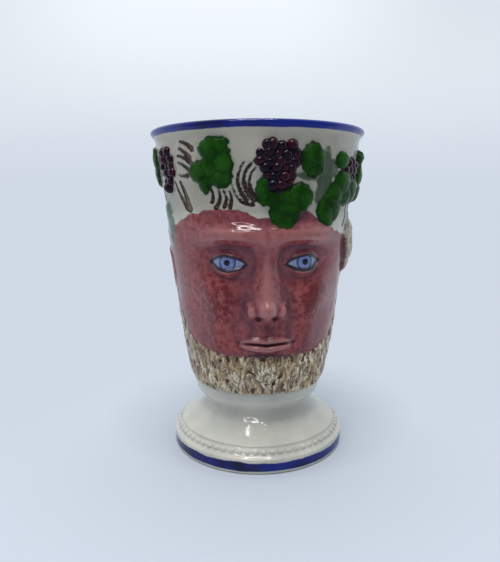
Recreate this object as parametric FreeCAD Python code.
# A footed pottery mug press-moulded as a bearded head under a vine wreath.
# One fired piece: a spreading hollow foot, a short neck, a tapering bowl whose wall carries the face,
# beard, ears, hair, vine leaves and grapes in relief, and a plain flared rim.
# Millimetres and degrees. +Z up, origin at the middle of the foot's underside, the face looks along -Y.
import FreeCAD
import Part
import math
import os

Vector = FreeCAD.Vector
UP = Vector(0, 0, 1)
FOOT_MIDDLE = Vector(0, 0, 0)

# Rim and bowl
mug_height = 127.0
rim_radius = 42.0
rim_thickness = 3.0
rim_flare_height = 5.5
lip_chamfer = 0.7
collar_radius = 40.0
rim_step = 0.3
wall_thickness = 4.2
floor_rise = 4.4
floor_thickness = 6.0
floor_rounding = 9.0
floor_bulge = 2.5

# Head
head_bottom_z = 24.4
head_bottom_radius = 26.0
beard_bottom_z = 27.6
beard_overhang = 0.9
chin_z = 31.0
wreath_bottom_z = 95.5
wreath_edge = 0.6

# Neck and foot
neck_radius = 22.2
neck_bottom_z = 15.0
neck_top_z = 20.1
foot_radius = 35.6
foot_chamfer = 0.8
foot_side_height = 5.4
bead_band_bevel = 1.2
shoulder_radius = 32.3
shoulder_z = 10.0
foot_dome_bulge = -0.7
foot_wall = 5.4
foot_ring_width = 4.6

# Relief heights above the bare wall
skin_lift = 0.4
jaw_relief = 0.8
brow_relief = 3.1
nose_relief = 8.4
eye_relief = 4.0
cheek_relief = 2.5
muzzle_relief = 2.2
lip_relief = 2.0
chin_relief = 2.6
beard_relief = 1.2
ear_relief = 1.5
hair_relief = 1.2
curl_relief = 3.4
leaf_relief = 2.0

# Beard, hair and ears
beard_lock_width = 5.6
hair_lock_width = 20.0
ear_turn = 84.0
ear_half_width = 4.2
curl_turn = 71.0
curl_half_height = 8.0

# Vine wreath
lobe_radius = 5.0
grape_radius = 2.0
grape_pitch = 3.3
bunch_rise = 0.6

# Fineness of the carved skin
face_edge = 60.0
nape_edge = 108.0
front_step = 3.8
side_step = 6.0
back_step = 10.3
row_step = 2.6
underside_step = 1.5
hollow_step = 6.0

# How far what is applied reaches into the wall, and how far the head's underside dives into the neck
bury = 2.2
underside_tuck = 0.5

collar_z = mug_height - rim_flare_height
wreath_height = collar_z - wreath_bottom_z
cup_floor_z = head_bottom_z + floor_rise


def wall_radius(z):
    """Radius of the bare bowl wall, a straight taper from the beard to the collar."""
    share = (z - head_bottom_z) / (collar_z - head_bottom_z)
    return head_bottom_radius + (collar_radius - head_bottom_radius) * share


# Face layout in a drawing manual's proportions: the eyes halfway up the head, the brow, the nose's base
# and the chin a third apart, five eye widths across the head, the mouth a third below the nose.
eye_z = (mug_height + chin_z) / 2
head_radius = wall_radius(eye_z)
eye_width = 2 * head_radius / 5
brow_z = eye_z + 0.62 * eye_width
nose_base_z = (brow_z + chin_z) / 2
third = brow_z - nose_base_z
mouth_z = nose_base_z - third / 3
lip_gap = third / 20
mouth_half_width = 0.75 * eye_width
beard_line_z = mouth_z - third / 5
ear_z = (brow_z + nose_base_z) / 2
ear_half_height = 0.42 * third
ear_across = head_radius * math.radians(ear_turn)
curl_across = head_radius * math.radians(curl_turn)


def hump(across, up, half_width, half_height):
    """A smooth rise of height 1 that fades out past the given half sizes."""
    return math.exp(-((across / half_width) ** 2) - (up / half_height) ** 2)


def ramp(value, low, high):
    """0 below low, 1 above high, smooth between."""
    share = min(1.0, max(0.0, (value - low) / (high - low)))
    return share * share * (3 - 2 * share)


def nose(across, z):
    """A ridge that widens and rises from between the brows, the round tip and a wing on each side."""
    down = (brow_z - z) / third
    rise = 0.05 + 0.26 * ramp(down, -0.2, 0.12) + 0.53 * ramp(down, 0.22, 0.86)
    half_width = eye_width * (0.28 + 0.08 * ramp(down, 0.3, 1.0))
    ridge = rise * (1 - ramp(down, 0.94, 1.08)) * math.exp(-((across / half_width) ** 2))
    up = z - nose_base_z
    tip = hump(across, up - 0.155 * third, 0.285 * eye_width, 0.14 * third)
    wing = 0.54 * hump(across - 0.35 * eye_width, up - 0.11 * third, 0.23 * eye_width, 0.125 * third)
    return nose_relief * max(ridge, tip, wing)


def eye_and_brow(across, z):
    """The brow's ridge and the swelling between the brows, the socket and the lidded ball in it."""
    unit = eye_width
    height = brow_relief * hump(across - 0.85 * unit, z - brow_z - 0.12 * unit, 0.85 * unit, 0.3 * unit)
    height += 0.4 * brow_relief * hump(across, z - brow_z - unit / 20, 0.4 * unit, 0.32 * unit)
    height -= eye_relief * hump(across - unit, z - eye_z, 0.6 * unit, 0.4 * unit)
    return height + 1.2 * eye_relief * hump(across - unit, z - eye_z, 0.45 * unit, 0.29 * unit)


def cheek_and_mouth(across, z):
    """Jaw, cheek and the hollow beside it, muzzle, the two lips with the line between them, and the chin."""
    unit = eye_width
    height = jaw_relief * hump(0, z - mouth_z, unit, third / 2)
    height += cheek_relief * hump(across - 1.35 * unit, z - nose_base_z - third / 4, 0.72 * unit, third / 3)
    height += 0.6 * cheek_relief * hump(across - 1.3 * unit, z - mouth_z, 0.9 * unit, third / 2)
    height -= 0.36 * cheek_relief * hump(across - 1.75 * unit, z - mouth_z - third / 3, unit / 2, third / 3)
    height += muzzle_relief * hump(across, z - mouth_z - third / 20, 0.85 * unit, 0.3 * third)
    height += 0.85 * lip_relief * hump(across, z - mouth_z - 0.8 * lip_gap, 0.8 * mouth_half_width, lip_gap)
    below = z - mouth_z + 1.2 * lip_gap
    height += 1.15 * lip_relief * hump(across, below, 0.75 * mouth_half_width, 1.3 * lip_gap)
    height -= 0.4 * lip_relief * hump(across, z - mouth_z, mouth_half_width, 0.6 * lip_gap)
    return height + chin_relief * hump(across, z - chin_z - third / 5, 0.7 * unit, third / 5)


def beard(across, z):
    """The beard's mass and its upright locks, below a line that rises to the ears."""
    turn = across / head_radius
    line = beard_line_z + third / 8 * ramp(turn, 0.5, 1.0)
    line += 0.7 * third * ramp(across, ear_across - 3 * ear_half_width, ear_across)
    inside = 1 - ramp(z, line - third / 20, line + third / 20)
    lock = 0.4 * math.cos(2 * math.pi * across / beard_lock_width + math.sin(8 * z / third))
    return beard_relief * (1 + lock) * inside * (1 - behind_ear(across))


def behind_ear(across):
    """0 before the ear, 1 behind it."""
    return ramp(across, ear_across + 0.5 * ear_half_width, ear_across + 2 * ear_half_width)


def ear(across, z):
    """A raised oval plate from the brow to the nose's base, leaning back, with a hollow in it."""
    up = (z - ear_z) / ear_half_height
    side = (across - ear_across) / ear_half_width - up / 4
    plate = math.exp(-((side ** 2 + up ** 2) ** 2))
    return ear_relief * (plate - 0.5 * hump(side + 0.1, up + 0.1, 0.5, 0.45))


def hair(across, z):
    """Wavy locks that hang from the wreath round the back, and come forward over the ear."""
    above_ear = ramp(across, ear_across - 3 * ear_half_width, ear_across - ear_half_width)
    above_ear *= ramp(z, brow_z, brow_z + third / 5)
    lock = 0.5 * math.cos(2 * math.pi * across / hair_lock_width + 2.0 * math.sin(3 * z / third))
    return hair_relief * (1 + lock) * max(behind_ear(across), above_ear)


def curl(angle, z):
    """The full curl of hair beside the brow, on the head's left side only."""
    across = angle * head_radius - curl_across
    return curl_relief * hump(across, z - brow_z, 0.6 * curl_half_height, curl_half_height)


def relief(angle, z):
    """Height of the carved skin above the bare wall; angle is in radians from the face."""
    across = abs(angle) * head_radius
    carved = eye_and_brow(across, z) + cheek_and_mouth(across, z) + nose(across, z)
    carved += beard(across, z) + ear(across, z) + max(hair(across, z), curl(angle, z))
    under_wreath = 1 - ramp(z, wreath_bottom_z, wreath_bottom_z + wreath_edge)
    height = skin_lift * under_wreath + carved * (1 - ramp(z, brow_z + third / 5, wreath_bottom_z))
    return height * ramp(z, beard_bottom_z, beard_bottom_z + beard_overhang)


def outward(angle):
    return Vector(math.sin(angle), -math.cos(angle), 0)


def on_wall(angle, z, lift):
    """A point the given lift above the bare wall."""
    return outward(angle) * (wall_radius(z) + lift) + UP * z


def on_skin(angle, z):
    """A point of the head's outside: the round underside above the neck, or the carved wall."""
    if z > head_bottom_z:
        return on_wall(angle, z, relief(angle, z))
    tucked = underside_tuck if z < neck_top_z else 0
    share = max(0.0, (z - neck_top_z) / (head_bottom_z - neck_top_z))
    flare = (head_bottom_radius - neck_radius) * math.sin(share * math.pi / 2)
    return outward(angle) * (neck_radius + flare - tucked) + UP * z


def filled(stops, size):
    """The stops with evenly spaced values between them, about size apart."""
    values = [stops[0]]
    for low, high in zip(stops, stops[1:]):
        count = max(1, round((high - low) / size))
        values += [low + (high - low) * i / count for i in range(1, count + 1)]
    return values


def faceted(rings, low_pole, high_pole):
    """A closed solid of flat facets round the rings of points, which all have as many points."""
    count = len(rings[0])
    points = [point for ring in rings for point in ring] + [low_pole, high_pole]
    low = len(points) - 2
    high = len(points) - 1
    last = low - count
    facets = []
    for i in range(count):
        right = (i + 1) % count
        facets.append((low, right, i))
        facets.append((high, last + i, last + right))
        for start in range(0, last, count):
            facets.append((start + i, start + right, start + count + right))
            facets.append((start + i, start + count + right, start + count + i))
    shape = Part.Shape()
    shape.makeShapeFromMesh((points, facets), 0.001)
    return Part.makeSolid(shape)


def at(radius, z):
    return Vector(radius, 0, z)


def bow(start, end, bulge, cuts):
    """The corners of a shallow curve in straight cuts, which stands off its chord to the right."""
    chord = end - start
    side = Vector(chord.z, 0, -chord.x).normalize()
    shares = [i / cuts for i in range(cuts + 1)]
    return [start + chord * share + side * (4 * bulge * share * (1 - share)) for share in shares]


def revolved(corners):
    """A solid of revolution from the corners of an outline that starts and ends on the axis."""
    outline = Part.makePolygon(corners + corners[:1])
    return Part.Face(outline).revolve(FOOT_MIDDLE, UP, 360)


def turned_in_facets(corners):
    """A faceted solid of revolution from the corners of an outline that runs from low to high."""
    turns = [math.radians(turn) for turn in filled([0.0, 360.0], hollow_step)[:-1]]
    rings = [[outward(turn) * corner.x + UP * corner.z for turn in turns] for corner in corners]
    return faceted(rings, UP * corners[0].z, UP * corners[-1].z)


def foot_and_neck():
    """The foot with its sloping bead band and sunken dome, and the neck, which runs up into the head."""
    dome = bow(at(shoulder_radius, shoulder_z), at(neck_radius, neck_bottom_z), foot_dome_bulge, 3)
    return revolved([
        at(0, 0),
        at(foot_radius - foot_chamfer, 0),
        at(foot_radius, foot_chamfer),
        at(foot_radius, foot_side_height),
        at(foot_radius - bead_band_bevel, foot_side_height + bead_band_bevel)]
        + dome
        + [at(neck_radius, neck_top_z + bury), at(0, neck_top_z + bury)])


def rim():
    """The flared rim with its chamfered lip, which overhangs the wall by a small step."""
    return revolved([
        at(0, collar_z),
        at(collar_radius + rim_step, collar_z),
        at(rim_radius, mug_height - lip_chamfer),
        at(rim_radius - lip_chamfer, mug_height),
        at(0, mug_height)])


def cup_hollow():
    """The inside of the bowl, down to its rounded floor."""
    wall_z = cup_floor_z + floor_rounding
    floor_edge = at(wall_radius(cup_floor_z) - wall_thickness - floor_rounding, cup_floor_z)
    wall_foot = at(wall_radius(wall_z) - wall_thickness, wall_z)
    mouth = rim_radius - rim_thickness
    return turned_in_facets(bow(floor_edge, wall_foot, floor_bulge, 3) + [
        at(collar_radius - wall_thickness, collar_z),
        at(mouth, mug_height),
        at(mouth, mug_height + bury)])


def foot_hollow():
    """The space under the foot, which follows the outside and ends under the bowl's floor."""
    ring_inside = foot_radius - foot_ring_width
    throat = neck_radius - foot_wall
    return turned_in_facets([
        at(ring_inside, -bury),
        at(ring_inside, shoulder_z - foot_wall),
        at(throat, neck_bottom_z - foot_wall / 2),
        at(throat, cup_floor_z - floor_thickness)])


def carved_head():
    """The head's outside from the neck up into the rim, as flat facets between points of the relief."""
    eye_turn = math.degrees(eye_width / head_radius)
    half = filled([0.0, eye_turn, face_edge], front_step)
    half += filled([face_edge, nape_edge], side_step)[1:]
    half += filled([nape_edge, 180.0], back_step)[1:]
    turns = [math.radians(turn) for turn in [-turn for turn in reversed(half[1:-1])] + half]
    levels = filled([neck_top_z - underside_tuck, neck_top_z, head_bottom_z], underside_step)
    levels += filled([
        beard_bottom_z,
        beard_bottom_z + beard_overhang,
        mouth_z - lip_gap,
        mouth_z,
        mouth_z + lip_gap,
        nose_base_z,
        eye_z,
        brow_z,
        wreath_bottom_z], row_step)
    levels += [wreath_bottom_z + wreath_edge, collar_z + rim_flare_height / 2]
    rings = [[on_skin(turn, z) for turn in turns] for z in levels]
    return faceted(rings, UP * levels[0], UP * levels[-1])


def pad(turn, z, half_width, half_height, flank, peak, count):
    """A low dome on the wall with a sloping flank; flank is its top's share of size and its lift."""
    middle = on_wall(turn, z, 0)
    edge = []
    for i in range(count):
        way = 2 * math.pi * i / count
        point_turn = turn + half_width * math.cos(way) / wall_radius(z)
        edge.append(on_wall(point_turn, z + half_height * math.sin(way), 0))
    share, lift = flank
    low = [point - outward(turn) * bury for point in edge]
    high = [middle + (point - middle) * share + outward(turn) * lift for point in edge]
    return faceted([low, high], middle - outward(turn) * bury, middle + outward(turn) * peak)


def lobe(turn, rise, width_share, height_share):
    """One rounded lobe of a vine leaf; rise is a share of the wreath's height above its bottom."""
    z = wreath_bottom_z + rise * wreath_height
    return pad(math.radians(turn), z, width_share * lobe_radius, height_share * lobe_radius,
               (0.8, 0.75 * leaf_relief), leaf_relief, 10)


def bunch(turn, top_rise, rows):
    """Grapes in rows of the given counts from the top down, fullest in the middle."""
    grapes = []
    row_height = grape_pitch * math.sqrt(0.75)
    reach = 0.5 * grape_pitch * max(rows)
    for row, count in enumerate(rows):
        z = wreath_bottom_z + top_rise * wreath_height - row * row_height
        for i in range(count):
            across = (i - (count - 1) / 2) * grape_pitch
            base = bunch_rise * (1 - (across / reach) ** 2)
            grapes.append(pad(
                math.radians(turn) + across / wall_radius(z), z, grape_radius, grape_radius,
                (0.74, base + 0.7 * grape_radius), base + grape_radius, 6))
    return grapes


# Leaf lobes: turn from the face towards its left side, rise in the wreath, width and height shares
front_lobes = (
    (-27.2, 0.86, 1.12, 0.78),
    (-35.9, 0.57, 0.88, 0.76),
    (-24.0, 0.58, 0.84, 1.00),
    (-29.5, 0.62, 0.90, 0.80),
    (-33.2, 0.44, 0.50, 0.72),
    (-1.8, 0.32, 0.56, 0.92),
    (9.4, 0.04, 1.06, 1.00),
    (17.4, 0.24, 1.04, 1.01),
    (8.0, 0.22, 0.86, 0.70),
    (23.3, 0.72, 0.92, 1.06),
    (48.0, 0.41, 1.15, 1.08),
    (37.5, 0.07, 1.12, 1.08),
    (42.0, 0.28, 0.90, 0.90),
    (44.0, 0.75, 0.66, 0.60),
    (-69.0, 0.00, 0.80, 0.90),
    (-69.0, -0.25, 0.80, 0.90))

# A plain leaf of three lobes, repeated round the hidden side: turn and rise of its middle
leaf_form = ((0.0, -0.11), (-4.6, 0.08), (4.6, 0.08))
side_leaves = ((78.0, 0.45), (146.0, 0.45), (-88.0, 0.70), (-150.0, 0.45))

lobes = [lobe(*place) for place in front_lobes]
for middle, height in side_leaves:
    lobes += [lobe(middle + turn, height + rise, 1.0, 1.0) for turn, rise in leaf_form]

grapes = bunch(5.2, 0.88, (4, 5, 4, 4, 3, 2))
grapes += bunch(-61.0, 0.86, (2, 3, 3, 2, 1))
grapes += bunch(58.0, 0.66, (2, 3, 2))
grapes += bunch(180.0, 0.82, (3, 4, 3, 2))

mug = carved_head().fuse([foot_and_neck(), rim()] + lobes + grapes)
mug = mug.cut([cup_hollow(), foot_hollow()]).removeSplitter()
print("mug", mug.isValid(), mug.ShapeType, len(mug.Solids), "solids", round(mug.Volume), "mm3")

os.makedirs("parts", exist_ok=True)
mug.Solids[0].exportStep("parts/mug.step")
